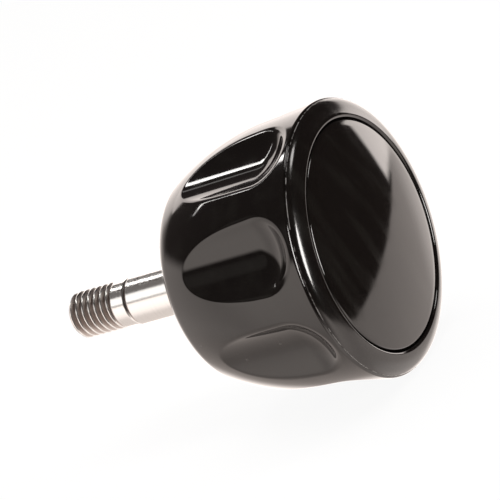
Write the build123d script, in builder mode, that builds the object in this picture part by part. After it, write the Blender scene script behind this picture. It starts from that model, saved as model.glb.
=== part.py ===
"""Fluted hand knob with an inset front cap and a moulded-in threaded stud.

The knob's axis is Y. The origin is on that axis, in the plane of the stud's shoulder.
The face looks along -Y, the threaded end points along +Y, and a land stands at +Z.
"""
from build123d import *
import os
from math import cos, radians, sin, sqrt, tan

# Knob, overall
rim_diameter = 46.4
body_depth = 30.9

# Rim: a sloped face with a rounded outer edge, down to the parting seam
rim_width = 3.62
rim_rise = 0.4
rim_slope = 21.5
rim_lip_radius = 0.25
rim_edge_width = 0.87
rim_edge_depth = 0.82
seam_step = 0.3
seam_groove_width = 0.4
seam_groove_depth = 0.2
seam_edge_radius = 0.3

# Outer wall: a drafted band behind the seam, then one long arc to the back face
wall_draft = 3.5
wall_band_length = 9.8
back_inset = 6.5
back_corner_radius = 3.9

# Finger flutes: round-nosed scoops that run out on the back arc
flute_count = 8
flute_depth = 3.24
flute_radius = 10.35
flute_draft = 0.7
flute_nose_radius = 7.75
flute_start = 1.55
flute_edge_radius = 1.0

# Cored inside: cap ledge, central boss and a rib behind each flute
ledge_depth = 2.4
ledge_width = 3.6
core_draft = 1.0
back_wall = 5.0
boss_wall = 3.5
boss_setback = 2.0
rib_thickness = 2.4
pocket_corner_radius = 1.0

# Front cap
cap_gap = 0.53
cap_crown = 1.65
cap_edge_radius = 0.4
cap_thickness = 2.2
skirt_clearance = 0.1
skirt_height = 1.6
skirt_thickness = 1.5
skirt_edge_chamfer = 0.4

# Stud
thread_diameter = 8.0
stud_reach = 11.8
tip_chamfer = 0.8
shank_length = 16.0
shoulder_step = 0.25
shoulder_taper_length = 0.6
anchor_sides = 6
anchor_across_flats = 12.0
anchor_length = 6.5
anchor_cover = 7.5

overrun = 1.0

# Places along the axis
back_y = -shank_length
cap_edge_y = back_y - body_depth
rim_lip_y = cap_edge_y - rim_rise
ledge_y = cap_edge_y + ledge_depth
core_top_y = ledge_y + boss_setback
core_depth = back_y - back_wall - core_top_y
anchor_front_y = core_top_y + anchor_cover

# Radii that the pieces share
rim_radius = rim_diameter / 2
recess_radius = rim_radius - rim_width
core_radius = recess_radius - ledge_width
cap_radius = recess_radius - cap_gap
thread_radius = thread_diameter / 2
shank_radius = thread_radius + shoulder_step
anchor_radius = anchor_across_flats / 2
boss_radius = anchor_radius / cos(radians(180 / anchor_sides)) + boss_wall

# Planes square to the axis, facing the back
core_plane = Plane(origin=(0, core_top_y, 0), x_dir=(1, 0, 0), z_dir=(0, 1, 0))
anchor_plane = Plane(origin=(0, anchor_front_y, 0), x_dir=(1, 0, 0), z_dir=(0, 1, 0))

# Outline of the rim and the wall
slope = radians(rim_slope)
draft = radians(wall_draft)
seam_radius = rim_radius - seam_step
crest_radius = seam_radius - rim_edge_width
crest_y = rim_lip_y + (crest_radius - recess_radius) * tan(slope)
seam_y = crest_y + rim_edge_depth
rim_crest = (crest_radius, crest_y)
seam_edge = (seam_radius, seam_y)
seam_root = (seam_radius - seam_groove_depth, seam_y + seam_groove_width / 2)
wall_front = (rim_radius, seam_y + seam_groove_width)
wall_bend = (rim_radius - wall_band_length * tan(draft), wall_front[1] + wall_band_length)
back_corner = (rim_radius - back_inset, back_y)

# Flute cutter: a round-nosed cutter whose axis runs along the knob's
flute_pitch = 360 / flute_count
flute_nose_run = sqrt(flute_nose_radius**2 - (flute_nose_radius - flute_depth) ** 2)
flute_nose_y = seam_y + flute_start + flute_nose_run
flute_front_y = flute_nose_y - flute_nose_radius
flute_back_y = back_y + overrun
flute_taper = tan(radians(flute_draft))
flute_floor = rim_radius - flute_depth
flute_corner = (flute_floor + flute_nose_radius * flute_taper, flute_front_y)
flute_runout = (flute_floor - (flute_back_y - flute_nose_y) * flute_taper, flute_back_y)
flute_axis_radius = flute_floor + flute_radius

# Knob body: one moulding, cored from the front
with BuildPart() as knob_body:
    with BuildSketch(Plane.XY) as body_section:
        with BuildLine():
            Polyline((0, core_top_y), (core_radius, core_top_y), (core_radius, ledge_y))
            Polyline((core_radius, ledge_y), (recess_radius, ledge_y), (recess_radius, rim_lip_y))
            Line((recess_radius, rim_lip_y), rim_crest)
            TangentArc(rim_crest, seam_edge, tangent=(cos(slope), sin(slope)))
            Polyline(seam_edge, seam_root, wall_front, wall_bend)
            TangentArc(wall_bend, back_corner, tangent=(-sin(draft), cos(draft)))
            Polyline(back_corner, (0, back_y), (0, core_top_y))
        make_face()
        fillet(body_section.vertices().sort_by_distance((recess_radius, rim_lip_y))[0], rim_lip_radius)
        fillet(body_section.vertices().sort_by_distance(wall_front)[0], seam_edge_radius)
        fillet(body_section.vertices().sort_by_distance(back_corner)[0], back_corner_radius)
    revolve(axis=Axis.Y)

    # Scooped flutes with rounded edges, placed so that a land stands at +Z
    for index in range(flute_count):
        flute_plane = Plane.XY.rotated((0, index * flute_pitch + flute_pitch / 2, 0))
        with BuildSketch(flute_plane) as scoop:
            with BuildLine():
                Polyline(
                    (flute_axis_radius, flute_front_y),
                    flute_corner,
                    flute_runout,
                    (flute_axis_radius, flute_back_y),
                    close=True,
                )
            make_face()
            fillet(scoop.vertices().sort_by_distance(flute_corner)[0], flute_nose_radius)
        flute_centre = flute_plane.from_local_coords((flute_axis_radius, 0, 0))
        revolve(axis=Axis(flute_centre, (0, 1, 0)), mode=Mode.SUBTRACT)
        fillet(knob_body.edges(Select.LAST).filter_by(GeomType.BSPLINE), flute_edge_radius)

    # Pockets between the boss, the ribs and the wall
    with BuildSketch(core_plane) as pockets:
        Circle(core_radius)
        Circle(boss_radius, mode=Mode.SUBTRACT)
        with PolarLocations(core_radius / 2, flute_count, start_angle=flute_pitch / 2):
            Rectangle(core_radius, rib_thickness, mode=Mode.SUBTRACT)
        fillet(pockets.vertices(), pocket_corner_radius)
    extrude(amount=core_depth, taper=core_draft, mode=Mode.SUBTRACT)

    # Seat of the stud, moulded round it
    with BuildSketch(anchor_plane):
        RegularPolygon(anchor_radius, anchor_sides, major_radius=False)
    extrude(amount=anchor_length, mode=Mode.SUBTRACT)
    with BuildSketch(anchor_plane):
        Circle(shank_radius)
    extrude(amount=back_y - anchor_front_y + overrun, mode=Mode.SUBTRACT)

# Front cap: a domed disc on the ledge, with a skirt inside the core's mouth
skirt_radius = core_radius - skirt_clearance
skirt_inner = skirt_radius - skirt_thickness
skirt_end_y = ledge_y + skirt_height
with BuildPart() as front_cap:
    with BuildSketch(Plane.XY) as cap_section:
        cap_edge = (cap_radius, cap_edge_y)
        under_edge = (skirt_inner, cap_edge_y + cap_thickness)
        with BuildLine():
            dome_top = (0, cap_edge_y - cap_crown)
            dome_under = (0, cap_edge_y - cap_crown + cap_thickness)
            Polyline(dome_under, dome_top)
            TangentArc(dome_top, cap_edge, tangent=(1, 0))
            Polyline(cap_edge, (cap_radius, ledge_y), (skirt_radius, ledge_y), (skirt_radius, skirt_end_y))
            Polyline((skirt_radius, skirt_end_y), (skirt_inner, skirt_end_y), under_edge)
            TangentArc(dome_under, under_edge, tangent=(1, 0))
        make_face()
        fillet(cap_section.vertices().sort_by_distance(cap_edge)[0], cap_edge_radius)
        chamfer(cap_section.vertices().sort_by_distance((skirt_radius, skirt_end_y))[0], skirt_edge_chamfer)
    revolve(axis=Axis.Y)

# Threaded stud: hexagonal anchor, shank, shoulder and plain blank of the thread
with BuildPart() as threaded_stud:
    with BuildSketch(Plane.XY):
        with BuildLine():
            Polyline(
                (0, anchor_front_y),
                (shank_radius, anchor_front_y),
                (shank_radius, -shoulder_taper_length),
                (thread_radius, 0),
                (thread_radius, stud_reach - tip_chamfer),
                (thread_radius - tip_chamfer, stud_reach),
                (0, stud_reach),
                close=True,
            )
        make_face()
    revolve(axis=Axis.Y)
    with BuildSketch(anchor_plane):
        RegularPolygon(anchor_radius, anchor_sides, major_radius=False)
    extrude(amount=anchor_length)

os.makedirs("parts", exist_ok=True)
knob_body.part.label = "knob_body"
export_step(knob_body.part, "parts/knob_body.step")
front_cap.part.label = "front_cap"
export_step(front_cap.part, "parts/front_cap.step")
threaded_stud.part.label = "threaded_stud"
export_step(threaded_stud.part, "parts/threaded_stud.step")
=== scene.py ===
"""Looks of the fluted hand knob: fine meshes of its three pieces, their materials, a studio and the camera.

The knob's axis is Y, with the face at -Y and the threaded end at +Y. Sizes are in millimetres, and a mesh
is scaled to metres when it is made. An outline is a list of (radius, y) points from one end to the other.
"""

import math

import bpy
import numpy as np
from mathutils import Matrix, Vector


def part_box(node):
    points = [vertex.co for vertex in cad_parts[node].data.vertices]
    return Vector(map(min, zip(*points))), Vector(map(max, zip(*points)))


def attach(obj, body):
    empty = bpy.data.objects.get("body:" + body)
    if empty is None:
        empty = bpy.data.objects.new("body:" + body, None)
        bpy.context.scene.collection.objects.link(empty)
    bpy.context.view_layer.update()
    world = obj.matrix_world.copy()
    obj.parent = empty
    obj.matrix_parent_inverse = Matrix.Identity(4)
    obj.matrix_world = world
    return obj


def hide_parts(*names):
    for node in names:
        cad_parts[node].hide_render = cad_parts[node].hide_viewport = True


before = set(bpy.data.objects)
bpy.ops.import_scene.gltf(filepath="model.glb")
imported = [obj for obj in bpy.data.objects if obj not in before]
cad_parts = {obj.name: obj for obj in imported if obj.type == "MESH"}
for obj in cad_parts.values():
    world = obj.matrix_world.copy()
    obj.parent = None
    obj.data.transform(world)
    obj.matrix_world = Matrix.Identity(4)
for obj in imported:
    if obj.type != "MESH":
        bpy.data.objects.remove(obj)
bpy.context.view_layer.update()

MM = 0.001

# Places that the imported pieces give
body_low, body_high = (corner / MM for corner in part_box("knob_body"))
cap_low, cap_high = (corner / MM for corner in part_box("front_cap"))
stud_low, stud_high = (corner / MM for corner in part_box("threaded_stud"))
back_y = body_high.y
stud_tip_y = stud_high.y
anchor_front_y = stud_low.y
dome_top_y = cap_low.y
skirt_end_y = cap_high.y
cap_radius = cap_high.x
anchor_radius = stud_high.z

# Rim and wall
rim_radius = 23.2
body_depth = 30.9
rim_width = 3.62
rim_rise = 0.4
rim_slope = math.radians(21.5)
rim_lip_radius = 0.45
rim_lip_overhang = 0.2
rim_lip_drop = 0.15
rim_crown = 0.1
rim_edge_width = 0.87
rim_edge_depth = 0.82
seam_step = 0.3
seam_groove_width = 0.4
seam_groove_depth = 0.2
seam_edge_radius = 0.3
flash_height = 0.1
flash_width = 0.14
flash_mean_share = 0.45
flash_wave_share = 0.25
wall_draft = math.radians(3.5)
wall_band_length = 9.8
back_inset = 6.5
back_corner_radius = 3.9

# Flutes
flute_count = 8
flute_depth = 3.24
flute_radius = 10.35
flute_draft = math.radians(0.7)
flute_nose_radius = 7.75
flute_start = 1.55
flute_edge_radius = 1.0

# Seat of the cap
ledge_depth = 2.4
ledge_width = 3.6
boss_setback = 2.0

# Cap
cap_thickness = 2.2
cap_edge_radius = 0.4
skirt_clearance = 0.1
skirt_thickness = 1.5

# Stud
thread_radius = 4.0
thread_pitch = 1.25
thread_depth = 0.72
thread_start = 2.7
thread_fade = 0.5
thread_crest_share = 0.14
thread_flank_share = 0.68
tip_chamfer = 0.8
shank_radius = 4.25
shoulder_taper_length = 0.6
shoulder_groove_width = 0.42
shoulder_groove_depth = 0.28
shoulder_groove_wall = 0.06
anchor_sides = 6
anchor_length = 6.5
bore_mouth_radius = 0.25

# Colours
gloss_dark = (0.0030, 0.0024, 0.0021, 1)
gloss_warm = (0.0046, 0.0036, 0.0033, 1)
dust_colour = (0.05, 0.047, 0.045, 1)
steel_grey = (0.66, 0.66, 0.65, 1)
steel_white = (0.80, 0.80, 0.79, 1)
# Painted shade: a dark colour for the thread's roots and the shoulder's groove
root_shade_colour = (0.45, 0.40, 0.375, 1)
flash_colour = (0.22, 0.21, 0.205, 1)
scuff_colour = (0.0105, 0.0100, 0.0085, 1)

# Finish: roughness, and the scale of each pattern per metre. A pair is where a pattern begins and is full.
noise_detail = 3.0
noise_range = (0.3, 0.7)
gloss_roughness = 0.045
rim_roughness = 0.125
rim_haze_reach = (0.5, 0.9)
rim_haze_fade = 0.3
cloud_scale = 90.0
cloud_detail = 4.0
cloud_roughness = 0.02
scuff_scale = 330.0
scuff_stretch = 8
scuff_lay = math.radians(75)
scuff_range = (0.5, 0.72)
scuff_share = 0.45
scuff_roughness = 0.06
dust_scale = 170.0
dust_size = (0.05, 0.025)
dust_chosen = (0.78, 0.8)
dust_roughness = 0.4
flash_scale = 700.0
flash_range = (0.46, 0.58)
flash_fade_out = 0.04
flash_fade_in = 0.02
ripple_scale = 260.0
ripple_detail = 2.0
ripple_height = 0.004
gloss_ior = 1.58
ring_scale = 2600.0
steel_roughness = (0.16, 0.24)
# Painted shade in the thread's roots and the shoulder's groove: its depths, its roughness and its fade at the
# tip
root_shade_depth = (0.06, 0.2)
shaded_root_roughness = 0.2
tip_unshaded_depth = (0.05, 0.25)

# Facets round the axis
body_facets = 592
cap_facets = 360
stud_facets = 192

# Rows along the arcs of the body and the cap
rim_face_rows = 12
rim_edge_rows = 9
back_corner_rows = 10
back_face_rows = 4
cap_dome_rows = 32
dome_rows_cut = 2
cap_under_rows = 12
cap_edge_rows = 8

# Rows along the body's wall: fine at the flutes' noses, and where they run out on the back arc
row_margin = 0.1
nose_rows_end = 2.5
nose_row_step = 0.16
middle_row_gap = 0.2
middle_row_step = 0.42
runout_rows_start = 11.5
runout_row_gap = 0.3
runout_rows_end = 5.2
runout_row_step = 0.19
corner_row_gap = 0.2
corner_row_step = 0.3

# Rows along the stud
shank_cover = 1.0
shank_rows = 12
taper_rows = 4
neck_rows = 8
thread_rows = 200

cap_edge_y = back_y - body_depth
rim_lip_y = cap_edge_y - rim_rise
ledge_y = cap_edge_y + ledge_depth
core_top_y = ledge_y + boss_setback
recess_radius = rim_radius - rim_width
core_radius = recess_radius - ledge_width
anchor_back_y = anchor_front_y + anchor_length


def line(start, end, count):
    """Points of a straight run, with both ends."""
    return [tuple(p) for p in np.linspace(start, end, count)]


def rounded(before, corner, after, radius, count=6):
    """Points of the arc that rounds a corner between two straight runs."""
    before, corner, after = (np.array(p, float) for p in (before, corner, after))
    come = (corner - before) / np.linalg.norm(corner - before)
    leave = (after - corner) / np.linalg.norm(after - corner)
    turn = math.acos(np.clip(come @ leave, -1, 1))
    setback = radius * math.tan(turn / 2)
    start = corner - come * setback
    across = leave - come * (come @ leave)
    across /= np.linalg.norm(across)
    turns = np.linspace(0, turn, count)
    return [tuple(start + radius * (math.sin(a) * come + (1 - math.cos(a)) * across)) for a in turns]


def tangent_arc(start, tangent, end, count=2):
    """Points of the arc that leaves start along tangent and ends at end, with the arc's centre and radius."""
    start, tangent, end = (np.array(p, float) for p in (start, tangent, end))
    chord = end - start
    across = chord - tangent * (chord @ tangent)
    across /= np.linalg.norm(across)
    radius = (chord @ chord) / (2 * (chord @ across))
    turn = 2 * math.atan2(chord @ across, chord @ tangent)
    points = [
        tuple(start + radius * (math.sin(a) * tangent + (1 - math.cos(a)) * across))
        for a in np.linspace(0, turn, count)
    ]
    return points, start + radius * across, radius


def bulged(start, end, rise, count):
    """Points of the shallow curve from start out to end that stands proud by rise towards the front."""
    start, end = (np.array(p, float) for p in (start, end))
    chord = end - start
    forward = np.array((chord[1], -chord[0])) / np.linalg.norm(chord)
    shares = np.linspace(0, 1, count)
    return [tuple(start + chord * s + forward * rise * 4 * s * (1 - s)) for s in shares]


def steps(start, end, step):
    """Evenly spaced values from start up to, and without, end."""
    count = max(1, round(abs(end - start) / step))
    return list(np.linspace(start, end, count, endpoint=False))


def angles_round(facets):
    """Evenly spaced angles round the axis, from +Z towards +X."""
    return np.linspace(0, 2 * math.pi, facets, endpoint=False)


def round_rows(outline, facets):
    """The radius of each point of an outline, repeated round the axis."""
    return np.repeat(np.array(outline)[:, :1], facets, axis=1)


def turned_piece(name, radii, heights):
    """A closed mesh round the Y axis. radii has a row of values round the axis for each height.

    The rows go from the middle of the front, round the outside, to the middle of the back.
    """
    facets = radii.shape[1]
    angles = angles_round(facets)
    heights = np.broadcast_to(np.array(heights, float)[:, None], radii.shape)
    places = np.stack([radii * np.sin(angles), heights, radii * np.cos(angles)], axis=-1) * MM
    rings = places[1:-1].reshape(-1, 3)
    first, last = places[0, 0], places[-1, 0]
    index = np.arange(len(rings)).reshape(-1, facets)
    beside = np.roll(index, -1, axis=1)
    quads = np.stack([index[:-1], beside[:-1], beside[1:], index[1:]], axis=-1).reshape(-1, 4)
    start, end = len(rings), len(rings) + 1
    faces = quads.tolist()
    faces += [(start, b, a) for a, b in zip(index[0].tolist(), beside[0].tolist())]
    faces += [(end, a, b) for a, b in zip(index[-1].tolist(), beside[-1].tolist())]
    mesh = bpy.data.meshes.new(name)
    mesh.from_pydata(np.vstack([rings, first, last]).tolist(), [], faces)
    mesh.validate()
    mesh.shade_smooth()
    piece = bpy.data.objects.new(name, mesh)
    bpy.context.scene.collection.objects.link(piece)
    return piece


# Outline of the rim and the wall
seam_radius = rim_radius - seam_step
crest_radius = seam_radius - rim_edge_width
crest_y = rim_lip_y + (crest_radius - recess_radius) * math.tan(rim_slope)
seam_y = crest_y + rim_edge_depth
rim_lip_top = rim_lip_y + rim_lip_drop - rim_lip_overhang * math.tan(rim_slope)
rim_lip = (recess_radius - rim_lip_overhang, rim_lip_top)
rim_crest = (crest_radius, crest_y)
seam_edge = (seam_radius, seam_y)
seam_root = (seam_radius - seam_groove_depth, seam_y + seam_groove_width / 2)
wall_front = (rim_radius, seam_y + seam_groove_width)
wall_bend = (rim_radius - wall_band_length * math.tan(wall_draft), wall_front[1] + wall_band_length)
back_corner = (rim_radius - back_inset, back_y)
wall_tangent = (-math.sin(wall_draft), math.cos(wall_draft))
wall_centre, wall_arc_radius = tangent_arc(wall_bend, wall_tangent, back_corner)[1:]

# Flute cutter
flute_pitch = 2 * math.pi / flute_count
flute_nose_run = math.sqrt(flute_nose_radius**2 - (flute_nose_radius - flute_depth) ** 2)
flute_nose_y = seam_y + flute_start + flute_nose_run
flute_floor = rim_radius - flute_depth
flute_axis_radius = flute_floor + flute_radius


def wall_radius(y):
    """Radius of the wall between the flutes: a drafted band, then the long arc."""
    band = wall_front[0] - (y - wall_front[1]) * math.tan(wall_draft)
    arc = wall_centre[0] + np.sqrt(wall_arc_radius**2 - (y - wall_centre[1]) ** 2)
    return np.where(y < wall_bend[1], band, arc)


def flute_surface(angle, y):
    """Radius of the round-nosed cutter's surface, at an angle from the flute's middle."""
    along = y - flute_nose_y
    nose = flute_nose_radius - np.sqrt(np.maximum(flute_nose_radius**2 - np.minimum(along, 0) ** 2, 0))
    floor = flute_floor + nose - np.maximum(along, 0) * math.tan(flute_draft)
    inside = (flute_axis_radius - floor) ** 2 - (flute_axis_radius * np.sin(angle)) ** 2
    near_side = flute_axis_radius * np.cos(angle) - np.sqrt(np.maximum(inside, 0))
    return np.where(inside > 0, near_side, flute_axis_radius)


def fluted(radius, slope, angle, y):
    """Radius of the wall with its flutes, with the edge between them rounded."""
    nudge, steepest, least_reach = 0.01, 2.0, 1e-4
    flute = flute_surface(angle, y)
    over = flute - radius
    along = (flute_surface(angle, y + nudge) - flute) / nudge - slope
    across = (flute_surface(angle + nudge / radius, y) - flute) / nudge
    steepness = np.minimum(along**2 + across**2, steepest)
    reach = np.maximum(flute_edge_radius * steepness / 2, least_reach)
    near = np.maximum(reach - np.abs(over), 0) / reach
    return np.minimum(flute, radius) - near**2 * reach / 4


def front_outline():
    """The cap's recess, the rim and the seam, up to the wall, and the number of the flash's row."""
    outline = [(0, core_top_y), (core_radius, core_top_y), (core_radius, ledge_y), (rim_lip[0], ledge_y)]
    outline += rounded(outline[-1], rim_lip, rim_crest, rim_lip_radius)
    face = bulged(outline[-1], rim_crest, rim_crown, rim_face_rows)
    outline += face[1:-1]
    leaving = np.array(face[-1]) - np.array(face[-2])
    leaving /= np.linalg.norm(leaving)
    outline += tangent_arc(rim_crest, leaving, seam_edge, rim_edge_rows)[0]
    flash_row = len(outline)
    outline += [(seam_radius, seam_y + flash_width / 2), (seam_radius, seam_y + flash_width), seam_root]
    outline += rounded(seam_root, wall_front, wall_bend, seam_edge_radius)
    return outline, flash_row


def corner_outline():
    """The rounded corner between the wall's long arc and the back face."""
    corner_y = back_y - back_corner_radius
    reach = wall_arc_radius - back_corner_radius
    corner_radius = wall_centre[0] + math.sqrt(reach**2 - (corner_y - wall_centre[1]) ** 2)
    start_angle = math.atan2(corner_y - wall_centre[1], corner_radius - wall_centre[0])
    return [
        (corner_radius + back_corner_radius * math.cos(a), corner_y + back_corner_radius * math.sin(a))
        for a in np.linspace(start_angle, math.pi / 2, back_corner_rows)
    ]


def back_outline(start):
    """The back face from its corner to the bore, and the bore up to the anchor's seat."""
    bore_mouth = (shank_radius, back_y)
    bore_end = (shank_radius, anchor_back_y)
    outline = line(start, (shank_radius + 2 * bore_mouth_radius, back_y), back_face_rows)[1:]
    outline += rounded(start, bore_mouth, bore_end, bore_mouth_radius)
    return outline + [bore_end]


def wall_places(start, end):
    """Places of the wall's rows along the axis."""
    places = steps(start + row_margin, flute_nose_y - nose_rows_end, nose_row_step)
    places += steps(places[-1] + middle_row_gap, back_y - runout_rows_start, middle_row_step)
    places += steps(places[-1] + runout_row_gap, back_y - runout_rows_end, runout_row_step)
    places += steps(places[-1] + corner_row_gap, end - row_margin, corner_row_step)
    return np.array(places)


def make_body():
    """The moulded head: recess, rim, seam, fluted wall, back face and the stud's seat."""
    angles = angles_round(body_facets)
    front, flash_row = front_outline()
    corner = corner_outline()
    back = corner + back_outline(corner[-1])

    wall_y = wall_places(front[-1][1], corner[0][1])
    wall = wall_radius(wall_y)
    slope = np.gradient(wall, wall_y)
    flute_angle = np.mod(angles, flute_pitch) - flute_pitch / 2
    wall = fluted(wall[:, None], slope[:, None], flute_angle[None, :], wall_y[:, None])

    hexagon = hexagon_radius(angles)
    seat_y = [anchor_back_y, anchor_front_y, anchor_front_y]
    seat = np.stack([hexagon, hexagon, np.zeros(body_facets)])

    radii = np.vstack([round_rows(front, body_facets), wall, round_rows(back, body_facets), seat])
    radii[flash_row] += flash_height * np.clip(uneven(angles), 0, 1)
    heights = [y for _, y in front] + list(wall_y) + [y for _, y in back] + seat_y
    return turned_piece("knob_shell", radii, heights)


def uneven(angles):
    """A broken, ragged height round the axis, as trimmed moulding flash has."""
    waves = (7, 0.4), (19, 1.9), (43, 4.1), (71, 0.7), (113, 2.6), (167, 5.3)
    ripple = sum(np.sin(count * angles + start) for count, start in waves)
    return flash_mean_share + flash_wave_share * ripple


def hexagon_radius(angles):
    """Radius of the anchor's hexagon, with corners at +Z and -Z."""
    side = 2 * math.pi / anchor_sides
    return anchor_radius / np.cos(np.mod(angles, side) - side / 2)


def make_cap():
    """The domed disc in the rim, with its rounded edge and the skirt that locates it."""
    skirt_radius = core_radius - skirt_clearance
    skirt_inner = skirt_radius - skirt_thickness
    cap_edge = (cap_radius, cap_edge_y)
    under_edge = (skirt_inner, cap_edge_y + cap_thickness)
    under = tangent_arc((0, dome_top_y + cap_thickness), (1, 0), under_edge, cap_under_rows)[0]
    # The rounded edge takes the place of the dome's last rows
    dome = tangent_arc((0, dome_top_y), (1, 0), cap_edge, cap_dome_rows)[0][:-dome_rows_cut]
    outline = under + [(skirt_inner, skirt_end_y), (skirt_radius, skirt_end_y)]
    outline += [(skirt_radius, ledge_y), (cap_radius, ledge_y)]
    outline += rounded((cap_radius, ledge_y), cap_edge, dome[-1], cap_edge_radius, cap_edge_rows)
    outline += dome[::-1]
    outline.reverse()
    return turned_piece("cap_disc", round_rows(outline, cap_facets), [y for _, y in outline])


def make_stud():
    """The turned stud: anchor, shank, shoulder, neck and a right-hand thread with a chamfered tip."""
    angles = angles_round(stud_facets)
    hexagon = hexagon_radius(angles)
    head_y = [anchor_front_y, anchor_front_y, anchor_back_y]
    head = np.stack([np.zeros(stud_facets), hexagon, hexagon])
    shank = [(shank_radius, anchor_back_y)]
    shank_end = (shank_radius, -shoulder_taper_length - row_margin)
    shank += line((shank_radius, back_y - shank_cover), shank_end, shank_rows)
    groove_start = -shoulder_groove_width
    groove_radius = thread_radius - shoulder_groove_depth
    shank += line((shank_radius, -shoulder_taper_length), (thread_radius, groove_start), taper_rows)
    shank += [(groove_radius, groove_start + shoulder_groove_wall), (groove_radius, -shoulder_groove_wall)]
    shank += line((thread_radius, 0), (thread_radius, thread_start - row_margin), neck_rows)

    thread_y = np.linspace(thread_start, stud_tip_y, thread_rows)[:, None]
    turns = thread_y / thread_pitch - angles[None, :] / (2 * math.pi)
    from_crest = 1 - np.abs(2 * np.mod(turns, 1) - 1)
    groove = np.clip((from_crest - thread_crest_share) / thread_flank_share, 0, 1)
    fade = np.clip((thread_y - thread_start) / thread_fade, 0, 1)
    thread = thread_radius - thread_depth * groove * fade
    thread = np.minimum(thread, thread_radius - tip_chamfer + (stud_tip_y - thread_y))

    radii = np.vstack([head, round_rows(shank, stud_facets), thread, np.zeros((1, stud_facets))])
    heights = head_y + [y for _, y in shank] + list(thread_y[:, 0]) + [stud_tip_y]
    return turned_piece("steel_stud", radii, heights)


def new_material(name):
    """A node material, with its node tree and its principled shader."""
    material = bpy.data.materials.new(name)
    material.use_nodes = True
    return material, material.node_tree, material.node_tree.nodes["Principled BSDF"]


def add_node(tree, kind, inputs, **settings):
    """A node with its settings, and with a value or a link on each input that is named."""
    node = tree.nodes.new("ShaderNode" + kind)
    for name, value in settings.items():
        setattr(node, name, value)
    for socket, value in inputs.items():
        if isinstance(value, bpy.types.NodeSocket):
            tree.links.new(value, node.inputs[socket])
        else:
            node.inputs[socket].default_value = value
    return node


def graded(tree, value, start, end, low=0.0, high=1.0):
    """A value that goes from low to high while another one goes from start to end."""
    inputs = {"Value": value, "From Min": start, "From Max": end, "To Min": low, "To Max": high}
    return add_node(tree, "MapRange", inputs).outputs["Result"]


def kept_axes(tree, place, axes):
    """A place with some of its axes kept and the others at zero."""
    return add_node(tree, "VectorMath", {0: place, 1: axes}, operation="MULTIPLY").outputs["Vector"]


def axis_places(tree):
    """Object coordinates, the distance from the knob's axis and the place along it."""
    place = add_node(tree, "TexCoord", {}).outputs["Object"]
    across = kept_axes(tree, place, (1, 0, 1))
    radius = add_node(tree, "VectorMath", {0: across}, operation="LENGTH").outputs["Value"]
    along = add_node(tree, "SeparateXYZ", {"Vector": place}).outputs["Y"]
    return place, radius, along


def math_node(tree, operation, first, second):
    """A sum, product or limit of two values."""
    return add_node(tree, "Math", {0: first, 1: second}, operation=operation).outputs["Value"]


def noise(tree, place, scale, detail=noise_detail):
    """A cloudy pattern, from 0 to 1."""
    return add_node(tree, "TexNoise", {"Vector": place, "Scale": scale, "Detail": detail}).outputs["Fac"]


def mixed(tree, share, first, second):
    """A colour between two colours."""
    inputs = {"Factor": share, "A": first, "B": second}
    return add_node(tree, "Mix", inputs, data_type="RGBA").outputs["Result"]


def black_gloss(name):
    """Polished black moulding, hazier on the rim, with faint scuffs, specks of dust and flash at the seam."""
    material, tree, shader = new_material(name)
    place, radius, along = axis_places(tree)
    outside = graded(tree, radius, *((recess_radius + reach) * MM for reach in rim_haze_reach))
    in_front = graded(tree, along, (seam_y + rim_haze_fade) * MM, seam_y * MM)
    rim = math_node(tree, "MULTIPLY", outside, in_front)

    cloud = noise(tree, place, cloud_scale, cloud_detail)
    lay = {"Vector": place, "Rotation": (0, scuff_lay, 0), "Scale": (scuff_stretch, 1, 1)}
    stretched = add_node(tree, "Mapping", lay, vector_type="TEXTURE").outputs["Vector"]
    scuff = graded(tree, noise(tree, stretched, scuff_scale), *scuff_range)
    cell = add_node(tree, "TexVoronoi", {"Vector": place, "Scale": dust_scale})
    dot = graded(tree, cell.outputs["Distance"], *dust_size)
    lot = add_node(tree, "SeparateColor", {"Color": cell.outputs["Color"]}).outputs["Red"]
    speck = math_node(tree, "MULTIPLY", dot, graded(tree, lot, *dust_chosen))

    flash_end = seam_y + flash_width
    starts = graded(tree, along, (seam_y - flash_fade_out) * MM, (seam_y + flash_fade_in) * MM)
    ends = graded(tree, along, (flash_end + flash_fade_out) * MM, (flash_end - flash_fade_in) * MM)
    flash = graded(tree, noise(tree, place, flash_scale), *flash_range)
    for share in (outside, starts, ends):
        flash = math_node(tree, "MULTIPLY", flash, share)

    haze = graded(tree, rim, 0, 1, gloss_roughness, rim_roughness)
    haze = math_node(tree, "ADD", haze, graded(tree, cloud, *noise_range, 0.0, cloud_roughness))
    haze = math_node(tree, "ADD", haze, graded(tree, scuff, 0, 1, 0.0, scuff_roughness))
    dull = math_node(tree, "MAXIMUM", speck, flash)
    haze = math_node(tree, "ADD", haze, graded(tree, dull, 0, 1, 0.0, dust_roughness))
    tree.links.new(haze, shader.inputs["Roughness"])

    colour = mixed(tree, cloud, gloss_dark, gloss_warm)
    colour = mixed(tree, graded(tree, scuff, 0, 1, 0.0, scuff_share), colour, scuff_colour)
    colour = mixed(tree, speck, colour, dust_colour)
    colour = mixed(tree, flash, colour, flash_colour)
    tree.links.new(colour, shader.inputs["Base Color"])
    shader.inputs["IOR"].default_value = gloss_ior

    ripple = noise(tree, place, ripple_scale, ripple_detail)
    bump = add_node(tree, "Bump", {"Height": ripple, "Strength": 1.0, "Distance": ripple_height * MM})
    tree.links.new(bump.outputs["Normal"], shader.inputs["Normal"])
    return material


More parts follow.
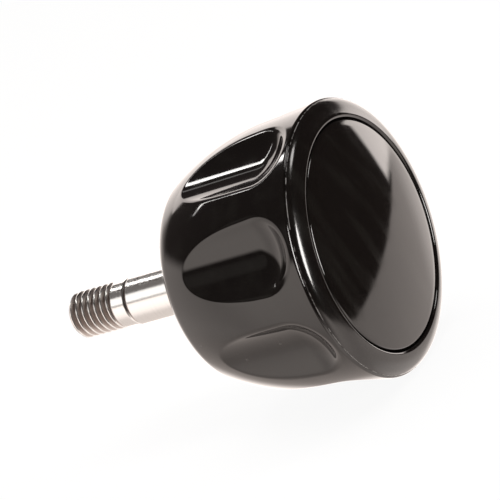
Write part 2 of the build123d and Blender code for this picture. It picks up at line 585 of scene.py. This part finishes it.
def turned_steel(name):
    """Bright turned steel with fine rings, and painted shade in the thread's roots and in the shoulder's
    groove.
    """
    material, tree, shader = new_material(name)
    place, radius, along = axis_places(tree)
    # Painted shade: a darker colour in the thread's roots and the shoulder's groove, fading out near the tip
    deep = graded(tree, radius, *((thread_radius - depth) * MM for depth in root_shade_depth))
    inland = graded(tree, along, *((stud_tip_y - depth) * MM for depth in tip_unshaded_depth))
    shaded_roots = math_node(tree, "MULTIPLY", deep, inland)
    rings = noise(tree, kept_axes(tree, place, (0, 1, 0)), ring_scale)

    colour = mixed(tree, rings, steel_grey, steel_white)
    tree.links.new(mixed(tree, shaded_roots, colour, root_shade_colour), shader.inputs["Base Color"])
    rough = graded(tree, rings, *noise_range, *steel_roughness)
    rough = math_node(tree, "ADD", rough, graded(tree, shaded_roots, 0, 1, 0.0, shaded_root_roughness))
    tree.links.new(rough, shader.inputs["Roughness"])
    shader.inputs["Metallic"].default_value = 1
    return material


# Camera: its place round the knob, its roll and its lens
camera_aim = Vector((-8.69, -30.05, 6.00)) * MM
camera_distance = 556.8 * MM
camera_azimuth = math.radians(-57.55)
camera_elevation = math.radians(15.85)
camera_roll = math.radians(25.66)
camera_lens = 250.2
camera_sensor = 36
camera_near = 10 * MM

# Studio axes: towards the photographer, to their right, and up
studio_front = Vector((
    math.sin(camera_azimuth) * math.cos(camera_elevation),
    -math.cos(camera_azimuth) * math.cos(camera_elevation),
    math.sin(camera_elevation),
))
level_right = Vector((math.cos(camera_azimuth), math.sin(camera_azimuth), 0))
level_up = studio_front.cross(level_right)
studio_up = math.cos(camera_roll) * level_up + math.sin(camera_roll) * level_right
studio_right = studio_up.cross(studio_front)

# Studio round the knob: a white table, a brighter backdrop behind it and a dark room, as seen from the knob.
# An edge is given by two directions on it, in degrees right and up, and its softness.
table_left_edge = ((-47, 13), (-75, -15), 0.05)
table_front_edge = ((-62, 0.5), (-118, -19), 0.06)
table_right_edge = ((80, 3.5), (50, 15), 0.006)
table_near_edge = ((130, -22), (92, -1), 0.02)
backdrop_left_edge = ((-50, 28), (-44, 13), 0.02)
backdrop_right_edge = ((49, 15), (54, 24), 0.01)
backdrop_top_edge = ((40, 32.5), (-29, 38), 0.02)

# Shades: a direction, and the share of it where a shade begins and is full
table_up = (180, 80)
table_back = (0, 10)
table_shade_place = (178, -36)
table_under_place = (-14, -56)
table_side_place = (56, -24)
room_glow_place = (-114, -1)
backdrop_foot_range = (0.156, 0.176)
backdrop_right_range = (0.50, 0.70)
table_front_range = (-0.1, 0.4)
table_far_range = (0.69, 0.80)
table_shade_range = (0.66, 0.98)
table_under_range = (0.76, 0.95)
table_side_range = (0.92, 0.985)
room_right_range = (-0.5, 0.5)
room_glow_range = (0.975, 0.998)

table_colour = (1.22, 1.09, 1.02, 1)
table_front_colour = (1.75, 1.57, 1.46, 1)
table_far_colour = (2.15, 1.95, 1.84, 1)
table_shade_colour = (0.32, 0.28, 0.26, 1)
table_under_colour = (0.92, 0.81, 0.75, 1)
table_side_colour = (1.60, 1.46, 1.38, 1)
backdrop_colour = (2.70, 2.45, 2.32, 1)
backdrop_right_colour = (3.90, 3.55, 3.36, 1)
room_left_colour = (0.09, 0.075, 0.07, 1)
room_glow_colour = (0.20, 0.18, 0.165, 1)
room_right_colour = (0.025, 0.020, 0.018, 1)
camera_white = (1, 1, 1, 1)

# Floor under the knob, and the lamp over it that gives the shadow
floor_size = 700 * MM
floor_colour = (0.86, 0.85, 0.84, 1)
floor_white_share = 0.91
floor_white_level = 1.02
top_lamp_height = 1000 * MM
top_lamp_size = 900 * MM
top_lamp_brightness = 3.6

# Soft lamps: degrees right and up, degrees wide and high, and brightness against white
lamp_distance = 500 * MM
lamp_colour = (1.0, 0.97, 0.94)
lamps = {
    "left_strip": (-69.5, 35, 2.0, 25, 10),
    "left_strip_head": (-70.8, 43, 5.4, 7, 14),
    "left_strip_foot": (-69.5, 22.5, 1.6, 6, 4),
    "left_glow": (-55, 44, 2.5, 9, 1.2),
    "right_softbox": (130, 11.5, 18, 26, 22),
    "high_softbox": (130, 62, 15, 15, 9),
}

# Lamps for the stud alone, in place of the white sheet that it lies close to
stud_lamps = {
    "stud_card": (-115, 2, 36, 32, 1.5),
    "stud_fill": (-97, 28, 30, 20, 0.1),
}


def studio_direction(right, up):
    """Direction from the knob, in degrees right of straight away from the camera and up."""
    right, up = math.radians(right), math.radians(up)
    ahead = math.cos(right) * math.cos(up)
    return math.sin(right) * math.cos(up) * studio_right + math.sin(up) * studio_up - ahead * studio_front


def make_camera():
    """The camera on its sphere round the aim point, rolled about its own axis."""
    camera = bpy.data.objects.new("camera", bpy.data.cameras.new("camera"))
    camera.data.lens = camera_lens
    camera.data.sensor_width = camera_sensor
    camera.data.clip_start = camera_near
    turn = Matrix((studio_right, studio_up, studio_front)).transposed().to_4x4()
    camera.matrix_world = Matrix.Translation(camera_aim + camera_distance * studio_front) @ turn
    bpy.context.scene.collection.objects.link(camera)
    bpy.context.scene.camera = camera


def make_lamp(name, right, up, width, height, brightness):
    """A soft lamp of an angular size and a brightness, turned to the knob."""
    light = bpy.data.lights.new(name, "AREA")
    light.shape = "ELLIPSE"
    light.size = 2 * lamp_distance * math.tan(math.radians(width) / 2)
    light.size_y = 2 * lamp_distance * math.tan(math.radians(height) / 2)
    light.energy = brightness * math.pi * (math.pi / 4 * light.size * light.size_y)
    light.color = lamp_colour
    lamp = bpy.data.objects.new(name, light)
    away = studio_direction(right, up)
    side = studio_up.cross(away).normalized()
    turn = Matrix((side, away.cross(side), away)).transposed().to_4x4()
    lamp.matrix_world = Matrix.Translation(camera_aim + lamp_distance * away) @ turn
    bpy.context.scene.collection.objects.link(lamp)
    return lamp


def pale_sheet(name):
    """Matt pale sheet that the camera sees as nearly white."""
    material, tree, shader = new_material(name)
    shader.inputs["Base Color"].default_value = floor_colour
    shader.inputs["Roughness"].default_value = 1
    white = add_node(tree, "Emission", {"Strength": floor_white_level}).outputs["Emission"]
    camera_ray = add_node(tree, "LightPath", {}).outputs["Is Camera Ray"]
    share = math_node(tree, "MULTIPLY", camera_ray, floor_white_share)
    mix = add_node(tree, "MixShader", {"Fac": share, 1: shader.outputs["BSDF"], 2: white})
    tree.links.new(mix.outputs["Shader"], tree.nodes["Material Output"].inputs["Surface"])
    return material


def make_floor():
    """The sheet under the knob, which takes its shadow and isn't seen in the gloss."""
    half = floor_size / 2
    height = body_low.z * MM
    corners = [(-half, -half, height), (half, -half, height), (half, half, height), (-half, half, height)]
    mesh = bpy.data.meshes.new("floor")
    mesh.from_pydata(corners, [], [(0, 1, 2, 3)])
    mesh.materials.append(pale_sheet("floor"))
    floor = bpy.data.objects.new("floor", mesh)
    floor.visible_glossy = False
    floor.visible_shadow = False
    bpy.context.scene.collection.objects.link(floor)


def make_top_lamp():
    """The lamp over the knob that gives its soft shadow and isn't seen in the gloss."""
    light = bpy.data.lights.new("top_lamp", "AREA")
    light.size = top_lamp_size
    light.energy = top_lamp_brightness * math.pi * top_lamp_size**2
    lamp = bpy.data.objects.new("top_lamp", light)
    lamp.location = (0, body_low.y * MM, top_lamp_height)
    lamp.visible_glossy = False
    bpy.context.scene.collection.objects.link(lamp)


def make_world():
    """The table, the backdrop and the dark room. The camera sees white all round."""
    world = bpy.data.worlds.new("studio")
    bpy.context.scene.world = world
    world.use_nodes = True
    tree = world.node_tree
    place = add_node(tree, "TexCoord", {}).outputs["Generated"]

    def ramp(across, start, end):
        """0 to 1 along a direction, from one share of it to another."""
        share = add_node(tree, "VectorMath", {0: place, 1: across}, operation="DOT_PRODUCT").outputs["Value"]
        inputs = {"Value": share, "From Min": start, "From Max": end}
        return add_node(tree, "MapRange", inputs, interpolation_type="SMOOTHSTEP").outputs["Result"]

    def inside(first, second, softness):
        """0 to 1 across a straight edge."""
        across = studio_direction(*second).cross(studio_direction(*first)).normalized()
        return ramp(across, -softness, softness)

    def least(*values):
        """The smallest of some values."""
        result = values[0]
        for value in values[1:]:
            result = math_node(tree, "MINIMUM", result, value)
        return result

    def shaded(colour, over, direction, limits):
        """A colour that goes over to another one along a direction."""
        return mixed(tree, ramp(direction, *limits), colour, over)

    above_foot = ramp(studio_direction(*table_up), *backdrop_foot_range)
    sides = least(inside(*backdrop_left_edge), inside(*backdrop_right_edge))
    backdrop = least(sides, inside(*backdrop_top_edge), above_foot)
    backdrop_shade = shaded(backdrop_colour, backdrop_right_colour, studio_right, backdrop_right_range)

    table_left = math_node(tree, "MAXIMUM", inside(*table_left_edge), inside(*table_front_edge))
    table = least(table_left, inside(*table_right_edge), inside(*table_near_edge))
    table_shade = shaded(table_colour, table_front_colour, studio_front, table_front_range)
    table_shade = shaded(table_shade, table_far_colour, studio_direction(*table_back), table_far_range)
    dim = studio_direction(*table_shade_place)
    table_shade = shaded(table_shade, table_shade_colour, dim, table_shade_range)
    under = studio_direction(*table_under_place)
    table_shade = shaded(table_shade, table_under_colour, under, table_under_range)
    side = studio_direction(*table_side_place)
    table_shade = shaded(table_shade, table_side_colour, side, table_side_range)

    room = shaded(room_left_colour, room_right_colour, studio_right, room_right_range)
    room = shaded(room, room_glow_colour, studio_direction(*room_glow_place), room_glow_range)
    colour = mixed(tree, backdrop, mixed(tree, table, room, table_shade), backdrop_shade)

    seen = tree.nodes["Background"]
    seen.inputs["Color"].default_value = camera_white
    around = add_node(tree, "Background", {"Color": colour}).outputs["Background"]
    camera_ray = add_node(tree, "LightPath", {}).outputs["Is Camera Ray"]
    mix = add_node(tree, "MixShader", {"Fac": camera_ray, 1: around, 2: seen.outputs["Background"]})
    tree.links.new(mix.outputs["Shader"], tree.nodes["World Output"].inputs["Surface"])


body = make_body()
cap = make_cap()
stud = make_stud()
plastic = black_gloss("black_gloss")
steel = turned_steel("turned_steel")
for piece, node, material, slot in (
    (body, "knob_body", plastic, "black_gloss"),
    (cap, "front_cap", plastic, "black_gloss"),
    (stud, "threaded_stud", steel, "stud_steel"),
):
    piece.data.materials.append(material)
    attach(piece, "root")
    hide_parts(node)

make_camera()
make_world()
make_floor()
make_top_lamp()
for name, place in lamps.items():
    make_lamp(name, *place)
stud_only = bpy.data.collections.new("stud_only")
stud_only.objects.link(stud)
for name, place in stud_lamps.items():
    make_lamp(name, *place).light_linking.receiver_collection = stud_only
bpy.context.scene.view_settings.view_transform = "Standard"
